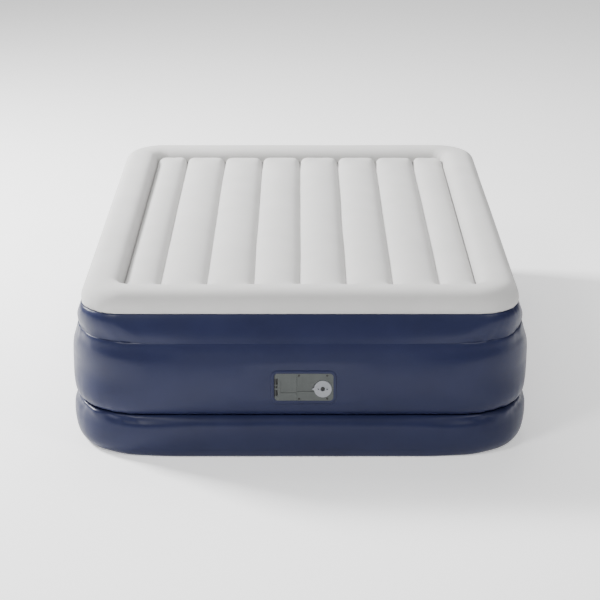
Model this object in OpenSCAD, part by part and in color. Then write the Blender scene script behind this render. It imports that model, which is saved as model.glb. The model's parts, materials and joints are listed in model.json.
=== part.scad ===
// Queen-size flocked air mattress with a raised rim and a built-in electric pump.
// Millimetres, +Z up, the pump's face towards -Y, origin on the floor under the centre.
// Every wall is drawn thicker than the real film, so that it is a solid of its own.

/* [Mattress] */
// Width across the widest bulge
bed_w = 1520; // [1480:10:1560]
// Length across the widest bulge
bed_l = 2030; // [1980:10:2080]
// Height of the rim's crest above the floor
bed_h = 560; // [555:1:565]
// Radius of the outline's corners
corner_r = 241; // [235:1:250]
// Drawn thickness of the soft sheets
film = 2.5; // [2:0.1:2.6]

/* [Side wall] */
// Radius of the roll below the deep crease
roll_r = 86; // [84:1:88]
// Height of the deep crease
girth_z = 146; // [143:1:150]
// Height of the weak crease
tie_z = 394; // [390:1:398]
// How far the weak crease lies inside the widest bulge
tie_in = 28; // [26:1:30]
// Height of the seam between side wall and rim
seam_z = 485; // [483:1:487]
// How far that seam lies inside the widest bulge
seam_in = 48; // [46:1:50]
// How far the middle band bulges out of its chord
middle_rise = 26; // [24:1:27]
// How far the upper band bulges out of its chord
upper_rise = 8; // [6:1:9]

/* [Sleeping surface] */
// How far the valley inside the rim lies from the widest bulge
rim_in = 174; // [172:1:176]
// Height of the valleys
valley_z = 501; // [499:1:503]
// Height of the channels above the valleys
channel_rise = 30; // [26:1:32]
// Width of a full channel
channel_w = 154.5; // [154:0.5:155]

/* [Inner webs] */
// Diameter of the air holes in the webs
air_hole_d = 60; // [50:1:64]
// Air holes along each beam
beam_holes = 6; // [4:1:7]

/* [Pump] */
// Width of the pump's face
panel_w = 192; // [190:1:194]
// Height of the pump's face
panel_h = 93; // [92:1:94]
// Corner radius of the pump's face
panel_r = 12; // [11:1:13]
// How far the face is set to the right of the mattress's centre
panel_x = 11.5; // [10:0.5:13]
// Height of the middle of the face
panel_z = 251.5; // [250:0.5:253]
// How far the face lies inside the widest bulge
panel_in = 3; // [2:0.5:4]
// Thickness of the face plate and the door
plate_t = 3.2; // [3:0.1:3.4]
// Diameter of the dial
dial_d = 57; // [56:0.5:58]
// Depth of the whole pump behind its face
pump_depth = 150; // [148:1:154]

/* [Hidden] */
$fn = 96;

film_blue = [0.30, 0.35, 0.47];
flock_grey = [0.80, 0.80, 0.79];
web_white = [0.88, 0.89, 0.90];
casing_grey = [0.36, 0.39, 0.38];
knob_grey = [0.63, 0.64, 0.66];
part_black = [0.06, 0.06, 0.06];
steel = [0.70, 0.71, 0.73];
copper = [0.72, 0.45, 0.25];

// Clearance between soft pieces, and a cut's overshoot
gap = 0.3;
cut = 1;

// Section points of the wall: x is minus the inset from the widest bulge, y is the height
girth_in = roll_r - sqrt(pow(roll_r, 2) - pow(girth_z - roll_r, 2));
floor_pt = [-roll_r, 0];
girth_pt = [-girth_in, girth_z];
tie_pt = [-tie_in, tie_z];
seam_pt = [-seam_in, seam_z];
valley_pt = [-rim_in, valley_z];
roll_rise = roll_r - sqrt(pow(roll_r, 2) - pow(norm(girth_pt - floor_pt) / 2, 2));
rim_rise = bed_h - (seam_z + valley_z) / 2 - 0.6;
web_z = girth_z;

// Valleys between the channels, from the left rim to the right rim
inner_half_w = bed_w / 2 - rim_in;
inner_half_l = bed_l / 2 - rim_in;
valleys = [-inner_half_w + gap, for (i = [-3:3]) i * channel_w, inner_half_w - gap];
beam_top_z = valley_z - 7;
beam_half_l = inner_half_l - film - 2 * gap;

// Pump, in its own frame: x to the right, y into the mattress, z up, origin mid face
half_w = panel_w / 2;
half_h = panel_h / 2;
seam_x = -21.5;
screw_xs = [-14.4, 76];
screw_z = 40;
hinge_x = -half_w + 6;
hinge_y = 5.6;
hinge_r = 5.6;
pin_r = 1.5;
fixed_knuckles = [[-30, -10], [-3, 3], [8, 29]];
knuckle_end = half_h - 4.2;
door_knuckles = [[-knuckle_end, -30.4], [-9.6, -3.4], [3.4, 7.6], [29.4, knuckle_end]];
dial_x = 62;
dial_z = -6;
motor_x = 37.5;
tub = [[-81, 7, -40], [-30, 112, 40]];
tub_wall = 2;
gland_y = 60;
gland_z = -15;
case_x = [-20, 95];
case_half_h = 43.5;
case_wall = 2;
split_y = 84;
shaft_r = 2;
flap_z = 18;

// Unit vector from p to q, and a vector turned a quarter turn to the right
function along(p, q) = (q - p) / norm(q - p);
function right_of(v) = [v[1], -v[0]];
// Radius and centre of the arc from p to q that bulges to the right by rise
function arc_r(p, q, rise) = (pow(norm(q - p) / 2, 2) + pow(rise, 2)) / (2 * rise);
function arc_c(p, q, rise) = (p + q) / 2 - (arc_r(p, q, rise) - rise) * right_of(along(p, q));
function from_angle(a) = [cos(a), sin(a)];

// Curved strip of sheet whose outer face runs from p to q, trimmed by clear at both ends
module arc_strip(p, q, rise, clear = gap) {
    r = arc_r(p, q, rise);
    out = right_of(along(p, q));
    half = acos((r - rise) / r) - clear / r * 180 / PI;
    far = 1.5 * r;
    translate(arc_c(p, q, rise)) rotate(atan2(out[1], out[0])) intersection() {
        difference() {
            circle(r);
            circle(r - film);
        }
        polygon([[0, 0], far * from_angle(-half), [far, -far], [far, far], far * from_angle(half)]);
    }
}

// Flat weld bead behind the crease at p
module bead(p) {
    translate(p + [-7.6, -4]) square([3.7, 8]);
}

// Sweeps a wall section round the mattress's outline
module ring() {
    for (turn = [0, 180]) rotate(turn) {
        translate([bed_w / 2, 0, 0]) rotate([90, 0, 0])
            linear_extrude(bed_l - 2 * corner_r, center = true) children();
        translate([0, bed_l / 2, 0]) rotate([90, 0, 90])
            linear_extrude(bed_w - 2 * corner_r, center = true) children();
        for (side = [0, 1]) mirror([side, 0, 0])
            translate([bed_w / 2 - corner_r, bed_l / 2 - corner_r, 0])
                rotate_extrude(angle = 90) translate([corner_r, 0]) children();
    }
}

// The mattress's outline, drawn in by inset
module outline(inset) {
    r = corner_r - inset;
    w = bed_w - 2 * inset;
    l = bed_l - 2 * inset;
    square([w, l - 2 * r], center = true);
    square([w - 2 * r, l], center = true);
    for (sx = [-1, 1], sy = [-1, 1]) translate([sx * (w / 2 - r), sy * (l / 2 - r)]) circle(r);
}

// Box between two corners
module block(a, b) {
    translate(a) cube(b - a);
}

// Round bar or bore along y from y0 to y1
module bar_y(r, y0, y1, x = 0, z = 0) {
    translate([x, y0, z]) rotate([-90, 0, 0]) cylinder(r = r, h = y1 - y0);
}

// Plate of the panel's outline between two depths, drawn in by inset
module panel_plate(y0, y1, inset = 0) {
    r = panel_r - inset;
    w = panel_w - 2 * inset;
    h = panel_h - 2 * inset;
    translate([0, y1, 0]) rotate([90, 0, 0]) linear_extrude(y1 - y0) union() {
        square([w, h - 2 * r], center = true);
        square([w - 2 * r, h], center = true);
        for (sx = [-1, 1], sz = [-1, 1]) translate([sx * (w / 2 - r), sz * (h / 2 - r)]) circle(r);
    }
}

// Puts pump pieces in place
module at_pump() {
    translate([panel_x, panel_in - bed_l / 2, panel_z]) children();
}

module bottom_sheet() {
    color(film_blue) linear_extrude(film) outline(roll_r + gap);
}

module bottom_seam() {
    color(film_blue) ring() translate([-roll_r - 12, film + 0.1]) square([14, 2]);
}

module lower_side_band() {
    color(film_blue) ring() arc_strip(floor_pt, girth_pt, roll_rise);
}

module lower_girth_seam() {
    color(film_blue) ring() bead(girth_pt);
}

module middle_side_band() {
    color(film_blue) difference() {
        ring() arc_strip(girth_pt, tie_pt, middle_rise);
        at_pump() block([-half_w - 1.5, -20, -half_h - 1.5], [half_w + 1.5, 40, half_h + 1.5]);
    }
}

module upper_girth_seam() {
    color(film_blue) ring() bead(tie_pt);
}

module upper_side_band() {
    color(film_blue) ring() arc_strip(tie_pt, seam_pt, upper_rise);
}

module top_seam() {
    color(flock_grey) ring() bead(seam_pt);
}

module rim_tube() {
    color(flock_grey) ring() arc_strip(seam_pt, valley_pt, rim_rise);
}

// Section of the channels, either the sheet alone or filled as an end wall
module channels(filled) {
    for (i = [0:len(valleys) - 2]) {
        p = [valleys[i + 1], valley_z];
        q = [valleys[i], valley_z];
        r = arc_r(p, q, channel_rise);
        arc_strip(p, q, channel_rise);
        if (filled) intersection() {
            translate(arc_c(p, q, channel_rise)) circle(r);
            translate([valleys[i] + 1, valley_z - 2]) square([p[0] - q[0] - 2, 2 * channel_rise]);
        }
    }
    if (filled) translate([-inner_half_w + gap, valley_z - 3.6]) square([2 * (inner_half_w - gap), 2.7]);
    else for (i = [1:len(valleys) - 2]) translate([valleys[i] - 5, valley_z - 3.6]) square([10, 2.7]);
}

module sleep_surface() {
    color(flock_grey) intersection() {
        rotate([90, 0, 0]) union() {
            linear_extrude(2 * (inner_half_l - gap), center = true) channels(false);
            for (end = [-1, 1]) translate([0, 0, end * (inner_half_l - gap - film / 2)])
                linear_extrude(film, center = true) channels(true);
        }
        translate([0, 0, valley_z - 10]) linear_extrude(channel_rise + 20) outline(rim_in + gap);
    }
}

module channel_seams() {
    color(web_white) for (i = [1:len(valleys) - 2])
        block([valleys[i] - 4, -beam_half_l, valley_z - 6.5], [valleys[i] + 4, beam_half_l, valley_z - 3.9]);
}

module girth_web() {
    inset = girth_in + 8;
    color(web_white) difference() {
        translate([0, 0, web_z - film / 2]) linear_extrude(film) outline(inset);
        for (i = [-3.5:3.5], j = [-2:2])
            translate([i * channel_w, j * 330, web_z - film]) cylinder(d = air_hole_d, h = 2 * film);
    }
}

module wall_tie_strip() {
    color(web_white) difference() {
        ring() translate([-rim_in + gap, tie_z - film / 2]) square([rim_in - tie_in - 8, film]);
        for (sy = [-1, 1], i = [-2:2])
            translate([i * 220, sy * (bed_l / 2 - 105), tie_z - film]) cylinder(d = air_hole_d, h = 2 * film);
        for (sx = [-1, 1], i = [-3:3])
            translate([sx * (bed_w / 2 - 105), i * 220, tie_z - film]) cylinder(d = air_hole_d, h = 2 * film);
    }
}

module perimeter_beam() {
    z0 = web_z + film / 2 + gap;
    hole_z = (z0 + beam_top_z) / 2;
    color(web_white) difference() {
        ring() translate([-rim_in - film, z0]) square([film, beam_top_z - z0]);
        for (i = [-1:1]) translate([i * 330, 0, hole_z]) rotate([90, 0, 0])
            cylinder(d = air_hole_d, h = bed_l, center = true);
        for (i = [-2:2]) translate([0, i * 330, hole_z]) rotate([0, 90, 0])
            cylinder(d = air_hole_d, h = bed_w, center = true);
    }
}

// Upright web along the mattress at x, with air holes
module beam(x, z0, z1, hole_d) {
    pitch = 2 * beam_half_l / beam_holes;
    color(web_white) difference() {
        block([x - film / 2, -beam_half_l, z0], [x + film / 2, beam_half_l, z1]);
        for (i = [0:beam_holes - 1]) translate([x, (i - (beam_holes - 1) / 2) * pitch, (z0 + z1) / 2])
            rotate([0, 90, 0]) cylinder(d = hole_d, h = 4 * film, center = true);
    }
}

module upper_beam(i) {
    beam(valleys[i], web_z + film / 2 + gap, beam_top_z, air_hole_d);
}

module lower_beam(i) {
    beam(valleys[2 * i], film + gap, web_z - film / 2 - gap, air_hole_d);
}

// Stiff flange welded behind the window in the side wall
module pump_collar() {
    color(casing_grey) at_pump() difference() {
        panel_plate(10, 13, -9);
        panel_plate(9, 14, -0.75);
    }
}

// Frame that carries the face plate, the hinge and the two boxes behind
module pump_bezel() {
    color(casing_grey) at_pump() difference() {
        union() {
            difference() {
                panel_plate(plate_t + 0.1, 16);
                panel_plate(6, 16 + cut, 3);
                block([-83.8, 0, -41.5], [-25.5, 20, 41.5]);
                block([-18, 0, -35], [90, 20, 35]);
            }
            block([-25.5, 6, -43.4], [-21, 16, 43.4]);
            for (x = screw_xs, s = [-1, 1]) bar_y(4.6, 5.9, 16, x, s * screw_z);
        }
        block([-half_w - cut, 0, -half_h - cut], [-83.8, 11.8, half_h + cut]);
        for (x = screw_xs, s = [-1, 1]) bar_y(1.85, 0, 20, x, s * screw_z);
        bar_y(dial_d / 2 + 0.8, 0, 20, dial_x, dial_z);
    }
}

module face_plate() {
    color(casing_grey) at_pump() difference() {
        panel_plate(0, plate_t);
        block([-half_w - cut, -cut, -half_h - cut], [seam_x + 0.6, plate_t + cut, half_h + cut]);
        bar_y(dial_d / 2 + 0.8, -cut, plate_t + cut, dial_x, dial_z);
        block([seam_x, -cut, -15], [dial_x, 0.8, 13]);
        for (x = screw_xs, s = [-1, 1]) {
            bar_y(3.7, -cut, 2.2, x, s * screw_z);
            bar_y(1.9, 0, plate_t + cut, x, s * screw_z);
        }
    }
}

module panel_screws() {
    color(part_black) at_pump() for (x = screw_xs, s = [-1, 1]) difference() {
        union() {
            bar_y(3.5, 0.4, 2.1, x, s * screw_z);
            bar_y(1.75, 2, 15, x, s * screw_z);
        }
        block([x - 2.2, 0, s * screw_z - 0.4], [x + 2.2, 1.2, s * screw_z + 0.4]);
        block([x - 0.4, 0, s * screw_z - 2.2], [x + 0.4, 1.2, s * screw_z + 2.2]);
    }
}

// Barrel of a hinge between two heights, bored for the pin
module barrel(z0, z1, bore_r) {
    translate([hinge_x, hinge_y, z0]) difference() {
        cylinder(r = hinge_r, h = z1 - z0);
        translate([0, 0, -cut]) cylinder(r = bore_r, h = z1 - z0 + 2 * cut);
    }
}

module hinge_knuckles() {
    color(part_black) at_pump() for (k = fixed_knuckles) union() {
        barrel(k[0], k[1], pin_r + 0.05);
        block([hinge_x - 4.5, hinge_y + 3, k[0]], [hinge_x + 4.5, 11.8, k[1]]);
    }
}

module hinge_pin() {
    color(steel) at_pump() translate([hinge_x, hinge_y, -knuckle_end])
        cylinder(r = pin_r, h = 2 * knuckle_end);
}

module cord_door() {
    color(casing_grey) at_pump() union() {
        difference() {
            panel_plate(0, plate_t);
            block([seam_x - 0.6, -cut, -half_h - cut], [half_w + cut, plate_t + cut, half_h + cut]);
            block([-half_w - cut, -cut, -half_h - cut], [hinge_x, plate_t + cut, half_h + cut]);
            for (k = fixed_knuckles) block([hinge_x - cut, -cut, k[0] - 0.4], [-83.8, plate_t + cut, k[1] + 0.4]);
            block([-74.5, -cut, -20], [seam_x, 0.8, 19]);
            translate([hinge_x, hinge_y, -half_h]) cylinder(r = pin_r + 1, h = panel_h);
        }
        for (k = door_knuckles) barrel(k[0], k[1], pin_r + 0.05);
    }
}

module door_latch() {
    color(casing_grey) at_pump() block([-28.6, plate_t, -6], [-26.6, 9.5, 6]);
}

module cord_tub() {
    wall = [tub_wall, tub_wall, tub_wall];
    color(casing_grey) at_pump() difference() {
        block(tub[0], tub[1]);
        block(tub[0] + wall - [0, 10, 0], tub[1] - wall);
        translate([tub[1][0], gland_y, gland_z]) rotate([0, 90, 0]) cylinder(r = 5.1, h = 10, center = true);
    }
}

// Bush that leads the mains cord from the tub into the pump's housing
module cord_gland() {
    x0 = tub[1][0] - tub_wall;
    x1 = case_x[0] + case_wall;
    color(part_black) at_pump() translate([0, gland_y, gland_z]) rotate([0, 90, 0]) difference() {
        union() {
            translate([0, 0, x0 - 2.5]) cylinder(r = 8, h = 2.4);
            translate([0, 0, x0 - 1]) cylinder(r = 5, h = x1 - x0 + 2);
            translate([0, 0, x1 + 0.1]) cylinder(r = 7, h = 2.4);
        }
        translate([0, 0, x0 - 5]) cylinder(r = 3.2, h = x1 - x0 + 12);
    }
}

// Square tube of the housing between two depths, with its joint flange
module housing_tube(y0, y1, flange0, flange1) {
    inner = [case_wall, 0, case_wall];
    difference() {
        union() {
            block([case_x[0], y0, -case_half_h], [case_x[1], y1, case_half_h]);
            block([case_x[0] - 5, flange0, -case_half_h - 5], [case_x[1] + 5, flange1, case_half_h + 5]);
        }
        block([case_x[0], y0 - cut, -case_half_h] + inner, [case_x[1], y1 + cut, case_half_h] - inner);
        housing_screw_holes();
    }
}

module housing_screw_holes() {
    for (x = [case_x[0] - 2.5, case_x[1] + 2.5], s = [-1, 1])
        bar_y(1.8, split_y - 10, split_y + 12, x, s * (case_half_h + 2.5));
}

module housing_front() {
    color(casing_grey) at_pump() difference() {
        housing_tube(16.1, split_y, split_y - 4, split_y);
        translate([case_x[0], gland_y, gland_z]) rotate([0, 90, 0]) cylinder(r = 5.1, h = 10, center = true);
    }
}

module housing_gasket() {
    color(part_black) at_pump() difference() {
        block([case_x[0] - 5, split_y + 0.05, -case_half_h - 5], [case_x[1] + 5, split_y + 1.55, case_half_h + 5]);
        block([case_x[0] + 3, split_y - cut, -case_half_h + 3], [case_x[1] - 3, split_y + 3, case_half_h - 3]);
        housing_screw_holes();
    }
}

module housing_rear() {
    color(casing_grey) at_pump() union() {
        housing_tube(split_y + 1.6, pump_depth, split_y + 1.6, split_y + 5.6);
        difference() {
            block([case_x[0], pump_depth - 2, -case_half_h], [case_x[1], pump_depth, case_half_h]);
            bar_y(15, pump_depth - 5, pump_depth + 5, motor_x);
        }
        for (s = [-1, 1]) translate([motor_x + s * 12 - 2, pump_depth - 0.5, flap_z - 3]) difference() {
            cube([4, 7.5, 6]);
            translate([-cut, 4, 3]) rotate([0, 90, 0]) cylinder(r = 1, h = 6);
        }
    }
}

module housing_screws() {
    color(steel) at_pump() for (x = [case_x[0] - 2.5, case_x[1] + 2.5], s = [-1, 1]) union() {
        bar_y(3.2, split_y - 6.4, split_y - 4.1, x, s * (case_half_h + 2.5));
        bar_y(1.7, split_y - 4.5, split_y + 8, x, s * (case_half_h + 2.5));
    }
}

// Knob with a pointer that lies at nine o'clock when the pump is off
module dial() {
    color(knob_grey) at_pump() translate([dial_x, 0, dial_z]) difference() {
        union() {
            bar_y(dial_d / 2, -2, 6);
            translate([-dial_d / 2 - 2, -2, 0]) rotate([-90, 0, 0]) rotate(60) cylinder(r = 5.6, h = 1.7, $fn = 3);
            bar_y(6, 5, 18);
        }
        bar_y(8, -3, 2);
        bar_y(1.9, -3, 19);
        for (s = [-1, 1]) bar_y(2.5, -3, 3, s * 14);
    }
}

module dial_screw() {
    color(part_black) at_pump() translate([dial_x, 0, dial_z]) union() {
        bar_y(6.5, 0.6, 1.9);
        bar_y(1.8, 1.8, 17);
    }
}

// Turning sleeve of the valve; its ports line up with the ones around it
module valve_drum() {
    color(knob_grey) at_pump() translate([dial_x, 0, dial_z]) difference() {
        bar_y(24.7, 8, 48);
        bar_y(22, 11, 49);
        bar_y(6.05, 7, 12);
        for (a = [0, 90]) rotate([0, a, 0]) translate([0, 30, 0]) cylinder(r = 8, h = 60);
    }
}

module valve_sleeve() {
    color(casing_grey) at_pump() translate([dial_x, 0, dial_z]) difference() {
        bar_y(27.5, 9.5, 52);
        bar_y(25, 9, 49.5);
        bar_y(12, 48, 53);
        for (a = [0:90:270]) rotate([0, a, 0]) translate([0, 30, 0]) cylinder(r = 8, h = 60);
    }
}

module valve_o_ring() {
    color(part_black) at_pump() translate([dial_x, 7.9, dial_z]) rotate([-90, 0, 0])
        rotate_extrude() translate([26, 0]) circle(0.9, $fn = 24);
}

module micro_switch() {
    color(part_black) at_pump() union() {
        block([8, 22, -21], [28, 36, -9]);
        block([27.5, 27, -16], [33.5, 31, -14]);
    }
}

module lead_wires() {
    color(copper) at_pump() for (z = [-18, -12]) bar_y(1.2, 36.1, 53.9, 26, z);
}

module motor_can() {
    color(steel) at_pump() difference() {
        bar_y(23, 58, 102, motor_x);
        bar_y(21.5, 57, 100.5, motor_x);
        bar_y(4.1, 100, 103, motor_x);
    }
}

module motor_end_cap() {
    color(part_black) at_pump() difference() {
        bar_y(23, 54, 57.9, motor_x);
        bar_y(4.1, 53, 59, motor_x);
    }
}

module motor_magnets() {
    color(part_black) at_pump() for (s = [-1, 1]) intersection() {
        difference() {
            bar_y(21.3, 64, 96, motor_x);
            bar_y(17, 63, 97, motor_x);
        }
        block([motor_x + (s < 0 ? -25 : 5), 60, -18], [motor_x + (s < 0 ? -5 : 25), 100, 18]);
    }
}

module motor_bushes() {
    color(copper) at_pump() for (y = [54, 99.5]) difference() {
        bar_y(4, y, y + 3.5, motor_x);
        bar_y(shaft_r + 0.05, y - 1, y + 5, motor_x);
    }
}

module motor_brushes() {
    color(part_black) at_pump() for (s = [-1, 1])
        block([motor_x - 2, 59, s < 0 ? -14 : 6.4], [motor_x + 2, 63, s < 0 ? -6.4 : 14]);
}

module motor_bracket() {
    color(casing_grey) at_pump() difference() {
        block([case_x[0] + case_wall + 0.1, 102.2, -12], [case_x[1] - case_wall - 0.1, 104.2, 12]);
        bar_y(9, 101, 106, motor_x);
    }
}

module motor_shaft() {
    color(steel) at_pump() bar_y(shaft_r, 52.5, 129, motor_x);
}

module armature() {
    color(copper) at_pump() difference() {
        bar_y(16, 66, 94, motor_x);
        bar_y(shaft_r, 60, 100, motor_x);
        for (a = [0:60:300]) translate([motor_x, 0, 0]) rotate([0, a, 0])
            block([11, 65, -1.5], [17, 95, 1.5]);
    }
}

module commutator() {
    color(copper) at_pump() difference() {
        bar_y(6, 58.6, 65.8, motor_x);
        bar_y(shaft_r, 57, 67, motor_x);
    }
}

module impeller() {
    blades = 9;
    color(knob_grey) at_pump() translate([motor_x, 0, 0]) difference() {
        union() {
            bar_y(36, 126, 128);
            bar_y(6, 112, 127);
            for (i = [0:blades - 1]) rotate([0, i * 360 / blades, 0]) translate([5, 0, 0])
                rotate([0, 25, 0]) block([0, 111, -0.8], [31, 127, 0.8]);
        }
        bar_y(shaft_r, 110, 130);
    }
}

// Scroll round the impeller, with a tangential outlet to the valve
module volute() {
    color(casing_grey) at_pump() difference() {
        union() {
            bar_y(40.5, 106, 132, motor_x);
            block([motor_x, 106, 24], [case_x[1] - 4, 132, 40.5]);
        }
        bar_y(38.5, 108, 133, motor_x);
        block([motor_x, 108, 26], [case_x[1], 130, 38.5]);
        bar_y(16, 105, 109, motor_x);
    }
}

module outlet_grille() {
    color(casing_grey) at_pump() translate([motor_x, 0, 0]) union() {
        difference() {
            bar_y(14.9, pump_depth - 3, pump_depth - 0.2);
            bar_y(12.5, pump_depth - 4, pump_depth + 1);
        }
        for (a = [0, 60, 120]) rotate([0, a, 0])
            block([-13, pump_depth - 3, -0.8], [13, pump_depth - 0.2, 0.8]);
    }
}

// Rubber flap that lets air into the mattress and closes against the way out
module check_flap() {
    color(part_black) at_pump() translate([motor_x, 0, 0]) difference() {
        union() {
            bar_y(17, pump_depth + 0.3, pump_depth + 2.3);
            translate([-9.5, pump_depth + 3.5, flap_z]) rotate([0, 90, 0]) cylinder(r = 2.6, h = 19);
        }
        translate([-12, pump_depth + 3.5, flap_z]) rotate([0, 90, 0]) cylinder(r = 1, h = 24);
    }
}

module flap_pin() {
    color(steel) at_pump() translate([motor_x - 14, pump_depth + 3.5, flap_z]) rotate([0, 90, 0])
        cylinder(r = 0.95, h = 28);
}

bottom_sheet();
bottom_seam();
lower_side_band();
lower_girth_seam();
middle_side_band();
upper_girth_seam();
upper_side_band();
top_seam();
rim_tube();
sleep_surface();
channel_seams();
girth_web();
wall_tie_strip();
perimeter_beam();
for (i = [1:7]) upper_beam(i);
for (i = [1:3]) lower_beam(i);
pump_collar();
pump_bezel();
face_plate();
panel_screws();
hinge_knuckles();
hinge_pin();
cord_door();
door_latch();
cord_tub();
cord_gland();
housing_front();
housing_gasket();
housing_rear();
housing_screws();
dial();
dial_screw();
valve_drum();
valve_sleeve();
valve_o_ring();
micro_switch();
lead_wires();
motor_can();
motor_end_cap();
motor_magnets();
motor_bushes();
motor_brushes();
motor_bracket();
motor_shaft();
armature();
commutator();
impeller();
volute();
outlet_grille();
check_flap();
flap_pin();
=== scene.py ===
import functools
import json
import math
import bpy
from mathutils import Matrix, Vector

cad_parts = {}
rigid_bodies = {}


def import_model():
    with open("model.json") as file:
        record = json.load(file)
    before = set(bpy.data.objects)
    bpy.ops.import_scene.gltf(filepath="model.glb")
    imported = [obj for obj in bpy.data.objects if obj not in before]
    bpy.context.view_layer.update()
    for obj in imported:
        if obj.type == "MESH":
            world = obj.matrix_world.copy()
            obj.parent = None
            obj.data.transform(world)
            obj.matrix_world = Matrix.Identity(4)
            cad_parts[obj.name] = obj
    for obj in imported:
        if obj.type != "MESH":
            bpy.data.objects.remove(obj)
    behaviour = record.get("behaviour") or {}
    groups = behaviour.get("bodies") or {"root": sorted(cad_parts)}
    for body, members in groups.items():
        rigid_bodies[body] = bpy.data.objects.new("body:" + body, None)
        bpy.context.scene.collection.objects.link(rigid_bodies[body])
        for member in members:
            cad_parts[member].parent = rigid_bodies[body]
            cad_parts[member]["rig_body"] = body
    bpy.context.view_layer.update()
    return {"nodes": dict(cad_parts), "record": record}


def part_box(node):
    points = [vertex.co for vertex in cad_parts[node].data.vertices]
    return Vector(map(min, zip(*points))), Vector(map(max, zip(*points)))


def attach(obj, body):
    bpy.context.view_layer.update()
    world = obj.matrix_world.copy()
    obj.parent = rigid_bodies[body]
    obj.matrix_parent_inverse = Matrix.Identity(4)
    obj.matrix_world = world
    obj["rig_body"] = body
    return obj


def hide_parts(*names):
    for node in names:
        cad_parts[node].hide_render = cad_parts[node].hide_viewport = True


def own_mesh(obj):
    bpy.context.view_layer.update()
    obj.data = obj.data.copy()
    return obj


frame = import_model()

import types

import bmesh
import bpy
from mathutils import Matrix, Vector, noise

bl_info = {
    "name": "Air mattress with a built-in pump",
    "version": (1, 0, 0),
    "blender": (4, 5, 0),
    "location": "View3D > Sidebar > Air Mattress",
    "description": "Builds the skins, webs, welds and pump of a raised air mattress round its frame",
    "category": "Object",
}

# ---------------------------------------------------------------- places from the frame

BEAD_OFFSET = 0.0039     # a weld bead's outer face lies this far behind its crease
GIRTH_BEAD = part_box("lower_girth_seam")
TIE_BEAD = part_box("upper_girth_seam")
RIM_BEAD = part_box("top_seam")
SKIN_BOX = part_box("middle_side_band")
DECK_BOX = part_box("sleep_surface")
RIM_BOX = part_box("rim_tube")
PANEL_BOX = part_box("pump_bezel")
FACE_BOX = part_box("face_plate")
HALF_W = SKIN_BOX[1].x
HALF_L = SKIN_BOX[1].y
GIRTH_Z = (GIRTH_BEAD[0].z + GIRTH_BEAD[1].z) / 2
TIE_Z = (TIE_BEAD[0].z + TIE_BEAD[1].z) / 2
SEAM_Z = (RIM_BEAD[0].z + RIM_BEAD[1].z) / 2
TIE_IN = HALF_W - TIE_BEAD[1].x - BEAD_OFFSET
SEAM_IN = HALF_W - RIM_BEAD[1].x - BEAD_OFFSET
VALLEY_IN = HALF_W - DECK_BOX[1].x
CREST_Z = DECK_BOX[1].z
RIM_TOP = RIM_BOX[1].z
PANEL_MID = (PANEL_BOX[0] + PANEL_BOX[1]) / 2
PANEL_Y = FACE_BOX[0].y
PANEL_HALF_W = (PANEL_BOX[1].x - PANEL_BOX[0].x) / 2
PANEL_HALF_H = (PANEL_BOX[1].z - PANEL_BOX[0].z) / 2
VALLEYS = [sum(c.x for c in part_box(f"upper_beam_{i}")) / 2 for i in range(1, 8)]
BELT_ROOM = 0.013        # film above and under the pump's opening that stays with the pump
BELT_LOW = PANEL_BOX[0].z - BELT_ROOM
BELT_HIGH = PANEL_BOX[1].z + BELT_ROOM

MERGE = 0.00005          # points closer than this are one point
LIP = 0.004              # how far a band's edge runs into its weld
LIP_GAP = 0.0006         # half the gap between two bands' edges in their weld
INNER_CORNER = 0.045     # plan radius of the valley inside the rim
WEB_CORNER = 0.241       # plan radius that the webs' outlines are concentric with
RECESS = 0.0008          # depth of the shallow fields in the plate and the door
FRONT_DEPTH = 0.1        # a point nearer the front than this belongs to the front wall
CORNER_STEPS = 40        # faces round a quarter turn of a skin
CHANNEL_STEPS = 20       # faces across a channel
END_LENGTH = 0.06        # stretch at each end of a channel that has finer faces


# ---------------------------------------------------------------- settings

class MattressSizes(bpy.types.PropertyGroup):
    """Sizes of the soft pieces that the frame doesn't fix"""

    corner_radius: bpy.props.FloatProperty(
        name="Corner radius", description="Plan radius of the widest bulge",
        default=0.290, unit="LENGTH")
    seam_radius: bpy.props.FloatProperty(
        name="Seam corner", description="Plan radius of the seam under the rim",
        default=0.140, unit="LENGTH")
    floor_inset: bpy.props.FloatProperty(
        name="Floor inset", description="How far the floor line lies inside the widest bulge",
        default=0.024, unit="LENGTH")
    lower_bulge_z: bpy.props.FloatProperty(
        name="Lower bulge height", description="Height at which the lower band is widest",
        default=0.112, unit="LENGTH")
    middle_bulge_z: bpy.props.FloatProperty(
        name="Middle bulge height", description="Height at which the middle band is widest",
        default=0.268, unit="LENGTH")
    crease_depth: bpy.props.FloatProperty(
        name="Crease depth", description="Inset of the deep crease between lower and middle band",
        default=0.033, unit="LENGTH")
    film: bpy.props.FloatProperty(
        name="Film", description="Thickness of the soft skins",
        default=0.0012, unit="LENGTH")
    valley_drop: bpy.props.FloatProperty(
        name="Valley depth", description="How far a valley lies under the channels' crest",
        default=0.031, unit="LENGTH")
    rim_power: bpy.props.FloatProperty(
        name="Rim fullness", description="Exponent of the rim's section; 2 is round",
        default=2.35)
    step: bpy.props.FloatProperty(
        name="Mesh step", description="Length of a face along the sides",
        default=0.013, unit="LENGTH")


class FinishColours(bpy.types.PropertyGroup):
    """Colours of the finishes"""

    film_blue: bpy.props.FloatVectorProperty(
        name="Side film", description="Colour of the side walls", subtype="COLOR",
        default=(0.0148, 0.0185, 0.052))
    flock_grey: bpy.props.FloatVectorProperty(
        name="Flocking", description="Colour of the flocked top", subtype="COLOR",
        default=(0.55, 0.545, 0.535))
    casing_grey: bpy.props.FloatVectorProperty(
        name="Pump casing", description="Colour of the pump's face", subtype="COLOR",
        default=(0.042, 0.049, 0.047))
    knob_grey: bpy.props.FloatVectorProperty(
        name="Dial", description="Colour of the dial", subtype="COLOR",
        default=(0.22, 0.23, 0.25))


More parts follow.
